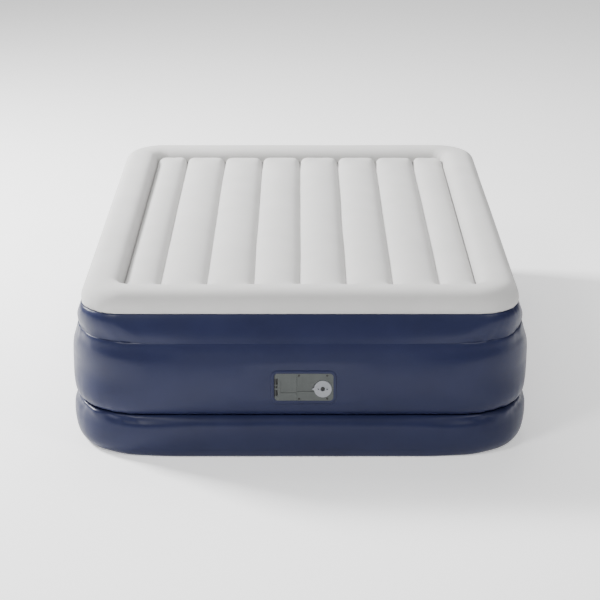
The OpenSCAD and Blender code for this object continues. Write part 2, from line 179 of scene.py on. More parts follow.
@functools.cache
def sizes():
    """The soft sizes as plain numbers, read once."""
    group = bpy.context.scene.mattress_sizes
    fields = MattressSizes.__annotations__
    return types.SimpleNamespace(**{field: getattr(group, field) for field in fields})


def colours():
    """The colours of the finishes."""
    return bpy.context.scene.mattress_colours


# ---------------------------------------------------------------- materials

def shader(name, colour, roughness):
    """An empty procedural material: its tree, its shader and its object coordinates."""
    material = bpy.data.materials.new(name)
    material.use_nodes = True
    tree = material.node_tree
    surface = tree.nodes["Principled BSDF"]
    surface.inputs["Base Color"].default_value = (*colour, 1)
    surface.inputs["Roughness"].default_value = roughness
    place = tree.nodes.new("ShaderNodeTexCoord").outputs["Object"]
    return material, tree, surface, place


def noise_node(tree, place, scale, detail=3.0, stretch=None):
    """Noise of that scale on the given coordinates, stretched per axis where asked."""
    if stretch:
        mapping = tree.nodes.new("ShaderNodeMapping")
        mapping.inputs["Scale"].default_value = stretch
        tree.links.new(place, mapping.inputs["Vector"])
        place = mapping.outputs["Vector"]
    node = tree.nodes.new("ShaderNodeTexNoise")
    node.inputs["Scale"].default_value = scale
    node.inputs["Detail"].default_value = detail
    tree.links.new(place, node.inputs["Vector"])
    return node.outputs["Fac"]


def remap(tree, value, low, high, from_low=0.3, from_high=0.7):
    """The value stretched from one range to another."""
    node = tree.nodes.new("ShaderNodeMapRange")
    node.inputs["From Min"].default_value = from_low
    node.inputs["From Max"].default_value = from_high
    node.inputs["To Min"].default_value = low
    node.inputs["To Max"].default_value = high
    tree.links.new(value, node.inputs["Value"])
    return node.outputs["Result"]


def tint(tree, surface, value, dark, light):
    """Drives the base colour between two colours."""
    mix = tree.nodes.new("ShaderNodeMix")
    mix.data_type = "RGBA"
    mix.inputs["A"].default_value = (*dark, 1)
    mix.inputs["B"].default_value = (*light, 1)
    tree.links.new(value, mix.inputs["Factor"])
    tree.links.new(mix.outputs["Result"], surface.inputs["Base Color"])


def add_values(tree, first, second, share):
    """first plus share times second."""
    node = tree.nodes.new("ShaderNodeMath")
    node.operation = "MULTIPLY_ADD"
    node.inputs[1].default_value = share
    tree.links.new(second, node.inputs[0])
    tree.links.new(first, node.inputs[2])
    return node.outputs["Value"]


def bump(tree, surface, height, distance, strength=1.0):
    """Raises the surface by a height value."""
    node = tree.nodes.new("ShaderNodeBump")
    node.inputs["Distance"].default_value = distance
    node.inputs["Strength"].default_value = strength
    tree.links.new(height, node.inputs["Height"])
    tree.links.new(node.outputs["Normal"], surface.inputs["Normal"])


def shade(colour, factor):
    """The colour made darker or lighter."""
    return tuple(min(1.0, c * factor) for c in colour)


def flocking():
    """Short pile: brushed patches, single fibres and a soft edge sheen."""
    colour = tuple(colours().flock_grey)
    material, tree, surface, place = shader("flocking", colour, 0.95)
    patches = noise_node(tree, place, 7.0, 4.0)
    fibres = noise_node(tree, place, 1400.0, 2.0)
    tufts = noise_node(tree, place, 260.0, 3.0)
    tone = add_values(tree, remap(tree, patches, 0.25, 0.75), remap(tree, fibres, -0.5, 0.5), 0.45)
    tint(tree, surface, tone, shade(colour, 0.93), shade(colour, 1.05))
    bump(tree, surface, add_values(tree, fibres, tufts, 1.2), 0.0005, 0.6)
    surface.inputs["Sheen Weight"].default_value = 0.25
    surface.inputs["Sheen Roughness"].default_value = 0.45
    surface.inputs["Specular IOR Level"].default_value = 0.15
    return material


def side_film():
    """Satin vinyl with a fine pressed grain and the faint waves of a welded film."""
    colour = tuple(colours().film_blue)
    material, tree, surface, place = shader("side_film", colour, 0.42)
    clouds = noise_node(tree, place, 5.0, 4.0)
    grain = tree.nodes.new("ShaderNodeTexVoronoi")
    grain.inputs["Scale"].default_value = 620.0
    tree.links.new(place, grain.inputs["Vector"])
    waves = noise_node(tree, place, 14.0, 3.0, (1.0, 1.0, 2.2))
    tint(tree, surface, remap(tree, clouds, 0.0, 1.0), shade(colour, 0.92), shade(colour, 1.10))
    height = add_values(tree, grain.outputs["Distance"], waves, 4.0)
    bump(tree, surface, height, 0.00016, 0.35)
    tree.links.new(remap(tree, waves, 0.32, 0.40), surface.inputs["Roughness"])
    surface.inputs["Specular IOR Level"].default_value = 0.20
    return material


def web_film():
    """Milky inner film with faint streaks along it."""
    colour = (0.72, 0.74, 0.76)
    material, tree, surface, place = shader("web_film", colour, 0.5)
    clouds = noise_node(tree, place, 9.0, 4.0)
    streaks = noise_node(tree, place, 60.0, 2.0, (1.0, 0.05, 1.0))
    tint(tree, surface, remap(tree, clouds, 0.0, 1.0), shade(colour, 0.94), colour)
    bump(tree, surface, streaks, 0.0004, 0.5)
    return material


def moulded_plastic(name, colour, roughness=0.5, grain=900.0):
    """Moulded plastic: spark-eroded grain, slight colour clouds and handling marks."""
    material, tree, surface, place = shader(name, colour, roughness)
    clouds = noise_node(tree, place, 30.0, 3.0)
    spots = noise_node(tree, place, grain, 2.0)
    marks = noise_node(tree, place, 90.0, 5.0, (1.0, 1.0, 0.3))
    tint(tree, surface, remap(tree, clouds, 0.0, 1.0), shade(colour, 0.92), shade(colour, 1.08))
    bump(tree, surface, spots, 0.00012, 0.5)
    tree.links.new(remap(tree, marks, roughness - 0.06, roughness + 0.08), surface.inputs["Roughness"])
    return material


def metal(name, colour, roughness, stretch):
    """Drawn or turned metal with fine marks along one axis."""
    material, tree, surface, place = shader(name, colour, roughness)
    marks = noise_node(tree, place, 800.0, 3.0, stretch)
    tint(tree, surface, remap(tree, marks, 0.0, 1.0), shade(colour, 0.85), colour)
    bump(tree, surface, marks, 0.00006, 0.5)
    tree.links.new(remap(tree, marks, roughness - 0.08, roughness + 0.1), surface.inputs["Roughness"])
    surface.inputs["Metallic"].default_value = 1.0
    return material


def make_finishes():
    """Every finish by the name of the slot that it serves."""
    casing = tuple(colours().casing_grey)
    knob = tuple(colours().knob_grey)
    return {
        "blue_film": side_film(),
        "flocked_film": flocking(),
        "web_film": web_film(),
        "grey_casing": moulded_plastic("casing_plastic", casing, 0.42),
        "light_plastic": moulded_plastic("dial_plastic", knob, 0.38),
        "black_plastic": moulded_plastic("black_plastic", (0.004, 0.005, 0.005), 0.45),
        "black_rubber": moulded_plastic("rubber", (0.02, 0.02, 0.021), 0.7, 500.0),
        "dark_screw": moulded_plastic("blackened_steel", (0.012, 0.012, 0.012), 0.5, 1500.0),
        "steel": metal("bright_steel", (0.62, 0.62, 0.63), 0.3, (1.0, 0.06, 1.0)),
        "ferrite": moulded_plastic("ferrite", (0.06, 0.06, 0.065), 0.6, 1500.0),
        "copper_alloy": metal("copper_alloy", (0.72, 0.40, 0.22), 0.32, (1.0, 0.1, 1.0)),
        "wire_insulation": moulded_plastic("wire_insulation", (0.42, 0.03, 0.02), 0.35),
    }


FINISHES = {}


# ---------------------------------------------------------------- mesh helpers

def outward(point):
    """Level direction out of the mattress at a point of its side."""
    reach = sizes().corner_radius
    core_x = max(-HALF_W + reach, min(HALF_W - reach, point.x))
    core_y = max(-HALF_L + reach, min(HALF_L - reach, point.y))
    away = Vector((point.x - core_x, point.y - core_y, 0))
    return away.normalized() if away.length > 1e-6 else Vector((0, 0, 1))


def pull(bm, edges, offset, steps, spans):
    """Extrudes an edge chain along offset and notes into how many steps the stretch is to be cut."""
    grown = bmesh.ops.extrude_edge_only(bm, edges=edges)["geom"]
    verts = [g for g in grown if isinstance(g, bmesh.types.BMVert)]
    chain = [g for g in grown if isinstance(g, bmesh.types.BMEdge)]
    bmesh.ops.translate(bm, verts=verts, vec=offset)
    lengthwise = {e for v in verts for e in v.link_edges} - set(chain)
    spans.append((lengthwise, steps))
    return chain


def turn(bm, edges, centre, steps):
    """Spins an edge chain a quarter turn about an upright axis and returns the last chain."""
    verts = list({v for e in edges for v in e.verts})
    grown = bmesh.ops.spin(bm, geom=verts + edges, cent=centre, axis=(0, 0, 1),
                           angle=math.pi / 2, steps=steps, use_merge=False)["geom_last"]
    return [g for g in grown if isinstance(g, bmesh.types.BMEdge)]


def cut_spans(bm, spans):
    """Cuts each noted stretch into its steps."""
    for lengthwise, steps in spans:
        if steps > 1:
            bmesh.ops.subdivide_edges(bm, edges=list(lengthwise), cuts=steps - 1, use_grid_fill=True)


def sweep(profile, half_w, half_l, radius, step, corner_steps, closed=False):
    """Sweeps a profile of (inset, height) points round a rounded rectangle."""
    bm = bmesh.new()
    points = [bm.verts.new((0, -half_l + inset, height)) for inset, height in profile]
    edges = [bm.edges.new(pair) for pair in zip(points, points[1:])]
    if closed:
        edges.append(bm.edges.new((points[-1], points[0])))
    across = half_w - radius
    along = half_l - radius
    side_steps = max(1, round(2 * along / step))
    end_steps = max(1, round(across / step))
    spans = []
    edges = pull(bm, edges, Vector((across, 0, 0)), end_steps, spans)
    edges = turn(bm, edges, (across, -along, 0), corner_steps)
    edges = pull(bm, edges, Vector((0, 2 * along, 0)), side_steps, spans)
    edges = turn(bm, edges, (across, along, 0), corner_steps)
    edges = pull(bm, edges, Vector((-2 * across, 0, 0)), 2 * end_steps, spans)
    edges = turn(bm, edges, (-across, along, 0), corner_steps)
    edges = pull(bm, edges, Vector((0, -2 * along, 0)), side_steps, spans)
    edges = turn(bm, edges, (-across, -along, 0), corner_steps)
    pull(bm, edges, Vector((across, 0, 0)), end_steps, spans)
    cut_spans(bm, spans)
    bmesh.ops.remove_doubles(bm, verts=bm.verts, dist=MERGE)
    bmesh.ops.recalc_face_normals(bm, faces=bm.faces)
    return bm


def face_outwards(bm, away):
    """Turns an open skin round if its faces look against away(centre)."""
    bm.normal_update()
    if sum(f.normal.dot(away(f.calc_center_median())) * f.calc_area() for f in bm.faces) < 0:
        bmesh.ops.reverse_faces(bm, faces=bm.faces)


def finish_piece(bm, name, slot, body, replaced=(), smooth=True):
    """Turns a bmesh into a named piece with its finish, which rides on its body."""
    mesh = bpy.data.meshes.new(name)
    bm.to_mesh(mesh)
    bm.free()
    piece = bpy.data.objects.new(name, mesh)
    bpy.context.scene.collection.objects.link(piece)
    mesh.materials.append(FINISHES[slot])
    mesh.shade_smooth() if smooth else mesh.shade_flat()
    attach(piece, body)
    if replaced:
        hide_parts(*replaced)
    return piece


def thicken(piece, thickness, offset=-1.0):
    """Gives a skin its wall with a live Solidify."""
    wall = piece.modifiers.new("wall", "SOLIDIFY")
    wall.thickness = thickness
    wall.offset = offset
    wall.use_even_offset = False
    return piece


def soften(piece, width, segments=2, angle=35):
    """Rounds the edges of a hard piece with a live Bevel."""
    edge = piece.modifiers.new("edges", "BEVEL")
    edge.width = width
    edge.segments = segments
    edge.limit_method = "ANGLE"
    edge.angle_limit = math.radians(angle)
    edge.harden_normals = False
    return piece


def sink_with_air(piece):
    """Gives the piece its own copy of its mesh."""
    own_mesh(piece)
    return piece


def fold_between(piece):
    """Gives the piece its own copy of its mesh."""
    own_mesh(piece)
    return piece


def fold_over_pump(piece):
    """For the film above the pump's belt: gives the piece its own copy of its mesh."""
    return fold_between(piece)


# ---------------------------------------------------------------- side walls

def spread(value, start, end):
    """0 before start, 1 after end, smooth between."""
    share = min(1.0, max(0.0, (value - start) / (end - start)))
    return share * share * (3 - 2 * share)


def interpolate(rows, value):
    """Smooth value of a table of (place, value) rows."""
    if value <= rows[0][0]:
        return rows[0][1]
    for (low, first), (high, last) in zip(rows, rows[1:]):
        if value <= high:
            return first + (last - first) * spread(value, low, high)
    return rows[-1][1]


@functools.cache
def wall_corner(height):
    """Plan radius of the wall's corner at a height: wide at the bulges, tight at the welds."""
    own = sizes()
    widest = own.corner_radius
    rows = ((0.0, 0.66 * widest), (own.lower_bulge_z, 0.98 * widest), (GIRTH_Z, 0.77 * widest),
            (own.middle_bulge_z, widest), (TIE_Z, 0.81 * widest), (SEAM_Z, own.seam_radius))
    return interpolate(rows, height)


def plan_place(point, wanted, reach=None, inset=None):
    """Moves a swept point so that its corner has the wanted plan radius and its side that inset."""
    reach = reach or sizes().corner_radius
    hub_x, hub_y = HALF_W - reach, HALF_L - reach
    core_x = max(-hub_x, min(hub_x, point.x))
    core_y = max(-hub_y, min(hub_y, point.y))
    away_x, away_y = point.x - core_x, point.y - core_y
    radius = math.hypot(away_x, away_y)
    inset = reach - radius if inset is None else inset
    new_x = core_x * (HALF_W - inset - wanted) / hub_x + away_x * wanted / radius
    new_y = core_y * (HALF_L - inset - wanted) / hub_y + away_y * wanted / radius
    return Vector((new_x, new_y, point.z))


def end_share(point):
    """0 along the middle of a side, 1 from where its creases turn firm round the corner."""
    away = outward(point)
    if abs(away.y) >= abs(away.x):
        return spread(abs(point.x), HALF_W - 0.42, HALF_W - 0.14)
    return spread(abs(point.y), HALF_L - 0.42, HALF_L - 0.16)


def from_end_of(point):
    """Distance along its side from a point to the nearer end of that side."""
    away = outward(point)
    if abs(away.y) >= abs(away.x):
        return HALF_W - abs(point.x)
    return HALF_L - abs(point.y)


def tie_pull(point):
    """How hard the tie draws the film in: a little along a side, more before each corner."""
    from_end = from_end_of(point)
    firm = spread(from_end, 0.10, 0.18) * (1 - spread(from_end, 0.20, 0.48))
    return 0.22 * spread(from_end, 0.12, 0.3) + 0.78 * firm


def shoulder_pull(point):
    """How much the roll under a crease is drawn flat: only on the stretch before each corner."""
    from_end = from_end_of(point)
    return spread(from_end, 0.05, 0.16) * (1 - spread(from_end, 0.20, 0.46))


def pump_calm(point):
    """1 right round the pump's stiff flange, 0 away from it, on the front only."""
    if point.y > -HALF_L + FRONT_DEPTH:
        return 0.0
    side = max(0.0, abs(point.x - PANEL_MID.x) - PANEL_HALF_W - 0.012) / 0.13
    rise = max(0.0, abs(point.z - PANEL_MID.z) - PANEL_HALF_H - 0.012) / 0.12
    return 1 - spread(math.hypot(side, rise), 0.0, 1.0)


def bulge(share, power=2.0):
    """Inset share along a bulge that is round at its widest and turns in at its end."""
    return 1 - (1 - min(1.0, share) ** power) ** (1 / power)


def lower_inset(height):
    """Inset of the lower band: a full roll on the floor that turns in under the middle band."""
    own = sizes()
    if height < own.lower_bulge_z:
        return own.floor_inset * bulge(1 - height / own.lower_bulge_z, 2.0)
    return own.crease_depth * bulge((height - own.lower_bulge_z) / (GIRTH_Z - own.lower_bulge_z), 1.8)


def middle_inset(height):
    """Inset of the middle band: it hangs over the crease and leans back to the tie."""
    own = sizes()
    if height < own.middle_bulge_z:
        share = (own.middle_bulge_z - height) / (own.middle_bulge_z - GIRTH_Z)
        return own.crease_depth * bulge(share, 2.05)
    share = (height - own.middle_bulge_z) / (TIE_Z - own.middle_bulge_z)
    return TIE_IN * (0.55 * share ** 2 + 0.45 * bulge(share, 2.4))


def upper_inset(height):
    """Inset of the upper band, a shallow bulge up to the rim's seam."""
    share = (height - TIE_Z) / (SEAM_Z - TIE_Z)
    straight = TIE_IN + (SEAM_IN - TIE_IN) * share
    return straight - 0.0095 * math.sin(math.pi * share) ** 0.8


@functools.cache
def tie_fill(height):
    """How far the film stands out of the tie crease where the tie is slack."""
    reach = 0.062
    if abs(height - TIE_Z) >= reach:
        return 0.0
    low, high = TIE_Z - reach, TIE_Z + reach
    slope_low = (middle_inset(low) - middle_inset(low - 0.002)) / 0.002
    slope_high = (upper_inset(high + 0.002) - upper_inset(high)) / 0.002
    t = (height - low) / (high - low)
    span = high - low
    bridge = ((2 * t ** 3 - 3 * t ** 2 + 1) * middle_inset(low)
              + (t ** 3 - 2 * t ** 2 + t) * span * slope_low
              + (3 * t ** 2 - 2 * t ** 3) * upper_inset(high) + (t ** 3 - t ** 2) * span * slope_high)
    firm = middle_inset(height) if height < TIE_Z else upper_inset(height)
    return firm - bridge


def crease_puckers(point, crease_z, reach, amplitude, pitch):
    """Short upright puckers that fade away from a crease and grow towards the corners."""
    fade = math.exp(-abs(point.z - crease_z) / reach)
    wave = noise.noise(Vector((point.x / pitch, point.y / pitch, crease_z * 7)))
    fine = noise.noise(Vector((point.x / pitch * 2.3, point.y / pitch * 2.3, crease_z * 3)))
    return amplitude * fade * (wave + 0.45 * fine) * (0.35 + 1.5 * end_share(point))


def sculpt_wall(bm):
    """Moves the wall's points as welded film does: tight welds, slack tie, waves and puckers."""
    for v in bm.verts:
        point = v.co.copy()
        out = outward(point)
        ends = end_share(point)
        place = plan_place(point, wall_corner(point.z))
        rise = noise.noise(Vector((point.x * 2.6, point.y * 2.6, point.z * 5.0))) * 0.0020
        pulled = tie_pull(point) * (1 - pump_calm(point))
        rise += tie_fill(point.z) * (1 - 0.55 * pulled)
        rise -= 0.0045 * pulled * math.exp(-((point.z - TIE_Z) / 0.017) ** 2)
        drawn = shoulder_pull(point)
        rise -= 0.0105 * drawn * math.exp(-((point.z - GIRTH_Z + 0.015) / 0.013) ** 2)
        rise -= 0.0060 * drawn * math.exp(-((point.z - TIE_Z + 0.026) / 0.020) ** 2)
        rise += crease_puckers(point, GIRTH_Z, 0.030, 0.0022, 0.034)
        rise += crease_puckers(point, TIE_Z, 0.024, 0.0016, 0.030) * (0.3 + pulled)
        rise += crease_puckers(point, SEAM_Z, 0.020, 0.0010, 0.022)
        floor_fade = min(1.0, max(0.0, (point.z - 0.004) / 0.03))
        place += out * rise * floor_fade
        low_turn = 0.030 * ends * max(0.0, 1 - point.z / 0.09) ** 1.5
        place -= out * low_turn
        calm = pump_calm(point)
        if calm > 0:
            flat_y = PANEL_Y + 0.0018
            place.y += max(0.0, flat_y - place.y) * calm
        v.co = place


def sample(inset_at, low, high, count, crowd=1.0):
    """Points of a profile between two heights, crowded at both ends as crowd falls to 0."""
    rows = []
    for i in range(count + 1):
        even = i / count
        share = crowd * even + (1 - crowd) * (0.5 - 0.5 * math.cos(math.pi * even))
        height = low + (high - low) * share
        rows.append((inset_at(height), height))
    return rows


def lower_profile():
    """From the floor up round the roll and into the deep crease."""
    rows = sample(lower_inset, 0.0, GIRTH_Z, 28, 0.2)
    crease = (rows[-1][0] + LIP, GIRTH_Z - LIP_GAP)
    return [(rows[0][0] + 0.030, 0.0), (rows[0][0] + 0.012, 0.0)] + rows[:-1] + [
        (rows[-1][0], GIRTH_Z - LIP_GAP), crease]


def middle_profile():
    """From the deep crease up over the pump to the tie."""
    rows = sample(middle_inset, GIRTH_Z, TIE_Z, 44, 0.3)
    crease = (rows[0][0] + LIP, GIRTH_Z + LIP_GAP)
    return [crease, (rows[0][0], GIRTH_Z + LIP_GAP)] + rows[1:]


def upper_profile():
    """From the tie up to the seam under the rim."""
    rows = sample(upper_inset, TIE_Z, SEAM_Z, 20, 0.5)
    return rows[:-1] + [(SEAM_IN, SEAM_Z - LIP_GAP), (SEAM_IN + LIP, SEAM_Z - LIP_GAP)]


def wall_band(profile):
    """One band of the side wall."""
    own = sizes()
    bm = sweep(profile, HALF_W, HALF_L, own.corner_radius, own.step, CORNER_STEPS)
    sculpt_wall(bm)
    face_outwards(bm, outward)
    for edge in bm.edges:
        edge.smooth = not edge.is_boundary
    return bm


def open_pump_window(bm):
    """Cuts the opening for the pump out of the front of a band."""
    grow = 0.0008
    low_x, high_x = PANEL_BOX[0].x - grow, PANEL_BOX[1].x + grow
    low_z, high_z = PANEL_BOX[0].z - grow, PANEL_BOX[1].z + grow
    planes = [((low_x, 0, 0), (1, 0, 0)), ((high_x, 0, 0), (1, 0, 0)),
              ((0, 0, low_z), (0, 0, 1)), ((0, 0, high_z), (0, 0, 1))]
    for spot, normal in planes:
        near = [f for f in bm.faces if f.calc_center_median().y < -HALF_L + FRONT_DEPTH
                and abs(f.calc_center_median().x - PANEL_MID.x) < PANEL_HALF_W + 0.05]
        parts = list({g for f in near for g in (f, *f.edges, *f.verts)})
        bmesh.ops.bisect_plane(bm, geom=parts, plane_co=spot, plane_no=normal, dist=1e-6)
    inside = [f for f in bm.faces if f.calc_center_median().y < -HALF_L + FRONT_DEPTH
              and low_x < f.calc_center_median().x < high_x
              and low_z < f.calc_center_median().z < high_z]
    bmesh.ops.delete(bm, geom=inside, context="FACES")


def split_at(bm, heights):
    """Cuts a band level at the given heights and returns its rings from the lowest up."""
    for height in heights:
        bmesh.ops.bisect_plane(bm, geom=[*bm.verts, *bm.edges, *bm.faces], plane_co=(0, 0, height),
                               plane_no=(0, 0, 1), dist=1e-6)
    limits = (-1.0, *heights, 9.0)
    rings = []
    for low, high in zip(limits, limits[1:]):
        ring = bm.copy()
        spare = [f for f in ring.faces if not low < f.calc_center_median().z < high]
        bmesh.ops.delete(ring, geom=spare, context="FACES")
        for edge in ring.edges:
            edge.smooth = not edge.is_boundary
        rings.append(ring)
    bm.free()
    return rings


class MATTRESS_OT_side_walls(bpy.types.Operator):
    """Build the three bands of the side wall"""

    bl_idname = "mattress.side_walls"
    bl_label = "Side walls"

    def execute(self, context):
        film = sizes().film
        lower = finish_piece(wall_band(lower_profile()), "lower_side_band_skin", "blue_film", "base",
                             ["lower_side_band"])
        upper = finish_piece(wall_band(upper_profile()), "upper_side_band_skin", "blue_film", "base",
                             ["upper_side_band"])
        bm = wall_band(middle_profile())
        open_pump_window(bm)
        fold, belt, shoulder = split_at(bm, (BELT_LOW, BELT_HIGH))
        fold = finish_piece(fold, "middle_side_band_fold", "blue_film", "base")
        belt = finish_piece(belt, "middle_side_band_skin", "blue_film", "pump", ["middle_side_band"])
        shoulder = finish_piece(shoulder, "middle_side_band_shoulder", "blue_film", "base")
        for piece in (lower, fold, belt, shoulder, upper):
            thicken(piece, film)
        sink_with_air(lower)
        fold_between(fold)
        fold_over_pump(shoulder)
        fold_over_pump(upper)
        return {"FINISHED"}


class MATTRESS_OT_floor_sheet(bpy.types.Operator):
    """Build the sheet under the mattress with its weld"""

    bl_idname = "mattress.floor_sheet"
    bl_label = "Floor sheet"

    def execute(self, context):
        inset = sizes().floor_inset + 0.026
        corner = wall_corner(0.0)
        bm = bmesh.new()
        half_w, half_l = HALF_W - inset, HALF_L - inset
        corners = [bm.verts.new((sx * half_w, sy * half_l, 0.0))
                   for sx, sy in ((-1, -1), (1, -1), (1, 1), (-1, 1))]
        bm.faces.new(corners)
        bmesh.ops.bevel(bm, geom=list(bm.verts), offset=corner, segments=16, profile=0.5,
                        affect="VERTICES", material=-1)
        bmesh.ops.recalc_face_normals(bm, faces=bm.faces)
        face_outwards(bm, lambda centre: Vector((0, 0, -1)))
        piece = finish_piece(bm, "floor_sheet", "blue_film", "base", ["bottom_sheet"])
        thicken(piece, sizes().film)
        weld = [(inset - 0.006, 0.0026), (inset - 0.001, 0.0034), (inset + 0.005, 0.0034),
                (inset + 0.0075, 0.0024), (inset + 0.0075, 0.0020), (inset - 0.006, 0.0020)]
        bm = sweep(weld, HALF_W, HALF_L, sizes().corner_radius, 0.03, 16, closed=True)
        for v in bm.verts:
            v.co = plan_place(v.co, corner)
        finish_piece(bm, "floor_weld", "blue_film", "base", ["bottom_seam"])
        return {"FINISHED"}


def weld_section(inset, height, half_h, depth):
    """Flat pressed weld strip behind a crease, thicker at its two ribs."""
    back = inset + depth
    return [(inset, height - half_h), (inset + depth * 0.3, height - half_h * 1.1),
            (back, height - half_h * 0.8), (back, height + half_h * 0.8),
            (inset + depth * 0.3, height + half_h * 1.1), (inset, height + half_h)]


class MATTRESS_OT_welds(bpy.types.Operator):
    """Build the weld beads behind the two creases and at the seam under the rim"""

    bl_idname = "mattress.welds"
    bl_label = "Welds"

    def execute(self, context):
        own = sizes()
        rows = (("lower_girth_weld", "lower_girth_seam", own.crease_depth, GIRTH_Z, "base", "blue_film"),
                ("upper_girth_weld", "upper_girth_seam", TIE_IN, TIE_Z, "base", "blue_film"),
                ("top_weld", "top_seam", SEAM_IN, SEAM_Z, "deck", "flocked_film"))
        for name, node, inset, height, body, slot in rows:
            section = weld_section(inset + LIP + 0.0014, height, 0.0035, 0.004)
            bm = sweep(section, HALF_W, HALF_L, own.corner_radius, own.step, 24, closed=True)
            for v in bm.verts:
                v.co = plan_place(v.co, wall_corner(height))
            piece = finish_piece(bm, name, slot, body, [node])
            if height == GIRTH_Z:
                sink_with_air(piece)
            elif height == TIE_Z:
                fold_over_pump(piece)
        return {"FINISHED"}


# ---------------------------------------------------------------- rim and sleeping surface

def rim_profile():
    """From the seam up over the rim and down into the valley inside it."""
    power = 2 / sizes().rim_power
    middle = (SEAM_IN + VALLEY_IN) / 2 - 0.001
    half = (VALLEY_IN - SEAM_IN) / 2 + 0.002
    valley_z = CREST_Z - sizes().valley_drop
    count = 40
    points = []
    for i in range(count + 1):
        a = math.pi * i / count
        side = math.cos(a)
        base = SEAM_Z + 0.012 if side > 0 else valley_z + 0.006
        x = middle - half * math.copysign(abs(side) ** power, side)
        points.append((x, base + (RIM_TOP - base) * math.sin(a) ** power))
    start = [(SEAM_IN + LIP, SEAM_Z + LIP_GAP), (SEAM_IN + 0.0008, SEAM_Z + LIP_GAP),
             (SEAM_IN - 0.0012, SEAM_Z + 0.004)]
    end = [(VALLEY_IN - 0.0005, valley_z + 0.001), (VALLEY_IN + 0.002, valley_z - 0.006)]
    return start + points + end


def rim_corner(inset):
    """Plan radius of the rim's corner, from the seam to the valley inside it."""
    share = (inset - SEAM_IN) / (VALLEY_IN - SEAM_IN)
    return sizes().seam_radius + (INNER_CORNER - sizes().seam_radius) * share


def inset_of(point, reach=None):
    """Inset of a swept point from the widest bulge."""
    reach = reach or sizes().corner_radius
    core_x = max(-HALF_W + reach, min(HALF_W - reach, point.x))
    core_y = max(-HALF_L + reach, min(HALF_L - reach, point.y))
    return reach - math.hypot(point.x - core_x, point.y - core_y)


def sculpt_rim(bm):
    """Soft waves over the rim and small puckers at its two welds."""
    for v in bm.verts:
        point = v.co.copy()
        out = outward(point)
        inset = inset_of(point)
        place = plan_place(point, rim_corner(inset))
        share = spread(point.z, SEAM_Z, SEAM_Z + 0.04)
        swell = noise.noise(Vector((point.x * 2.6, point.y * 2.6, 4.2)))
        place.z += 0.0030 * swell * share
        near_valley = math.exp(-max(0.0, VALLEY_IN - inset) / 0.022)
        fold = noise.noise(Vector((point.x / 0.024, point.y / 0.024, 1.7)))
        place += out * 0.0014 * near_valley * fold * (0.5 + 1.2 * end_share(point))
        place += out * crease_puckers(point, SEAM_Z, 0.018, 0.0010, 0.024)
        v.co = place


class MATTRESS_OT_rim(bpy.types.Operator):
    """Build the raised flocked rim"""

    bl_idname = "mattress.rim"
    bl_label = "Rim"

    def execute(self, context):
        own = sizes()
        bm = sweep(rim_profile(), HALF_W, HALF_L, own.corner_radius, own.step * 0.9, CORNER_STEPS)
        sculpt_rim(bm)
        face_outwards(bm, lambda centre: Vector((0, 0, 1)) + outward(centre) * 0.2)
        for edge in bm.edges:
            edge.smooth = not edge.is_boundary
        piece = finish_piece(bm, "rim_skin", "flocked_film", "deck", ["rim_tube"])
        thicken(piece, own.film)
        return {"FINISHED"}


def channel_edges():
    """Places across the bed where one channel ends and the next begins."""
    half = HALF_W - VALLEY_IN
    return [-half, *VALLEYS, half]


def wander(y, index):
    """How far a valley strays from straight at y."""
    return 0.0022 * noise.noise(Vector((index * 3.7, y * 2.3, 0.5)))


def sculpt_channels(bm, edges):
    """Lifts the flat sheet into channels that close down at their ends and corners."""
    half_w, half_l = edges[-1], HALF_L - VALLEY_IN
    corner = INNER_CORNER
    drop = sizes().valley_drop
    rest = CREST_Z - drop
    for v in bm.verts:
        x, y = v.co.x, v.co.y
        index = max(0, min(len(edges) - 2, sum(1 for e in edges[1:-1] if x > e)))
        left, right = edges[index], edges[index + 1]
        u = 2 * (x - left) / (right - left) - 1
        square = 1 - spread(half_l - abs(y), 0.015, 0.11)
        round_top = 1 - 0.72 * u * u - 0.28 * u ** 6
        rise = drop * (round_top + square * (1 - abs(u) ** 9 - round_top))
        rise *= 0.96 + 0.05 * noise.noise(Vector((index * 5.1, y * 1.7, 9.0)))
        end = (half_l - abs(y)) / 0.016
        if end < 1:
            rise *= (1 - (1 - max(0.0, end)) ** 2.4) ** 0.5
        valley = math.exp(-(1 - abs(u)) / 0.16)
        pucker = noise.noise(Vector((x / 0.035, y / 0.021, 2.0)))
        rise += 0.0009 * pucker * valley
        end_fold = noise.noise(Vector((x / 0.020, y / 0.06, 6.0)))
        near_end = math.exp(-(half_l - abs(y)) / 0.045)
        rise += 0.0022 * end_fold * near_end * (1 - abs(u)) * min(1.0, max(0.0, end) * 2)
        over = abs(y) - (half_l - corner)
        if over > 0 and abs(x) > abs(edges[1]):
            reach = half_w - corner + math.sqrt(max(0.0, corner ** 2 - over ** 2))
            first = abs(edges[1])
            x = math.copysign(first + (abs(x) - first) * (reach - first) / (half_w - first), x)
        left_pull, right_pull = wander(y, index), wander(y, index + 1)
        shift = left_pull + (right_pull - left_pull) * (u + 1) / 2
        at_edge = min(1.0, max(0.0, (half_w - abs(x)) / 0.05))
        v.co.x = x + shift * at_edge * min(1.0, max(0.0, end))
        v.co.z = rest + rise


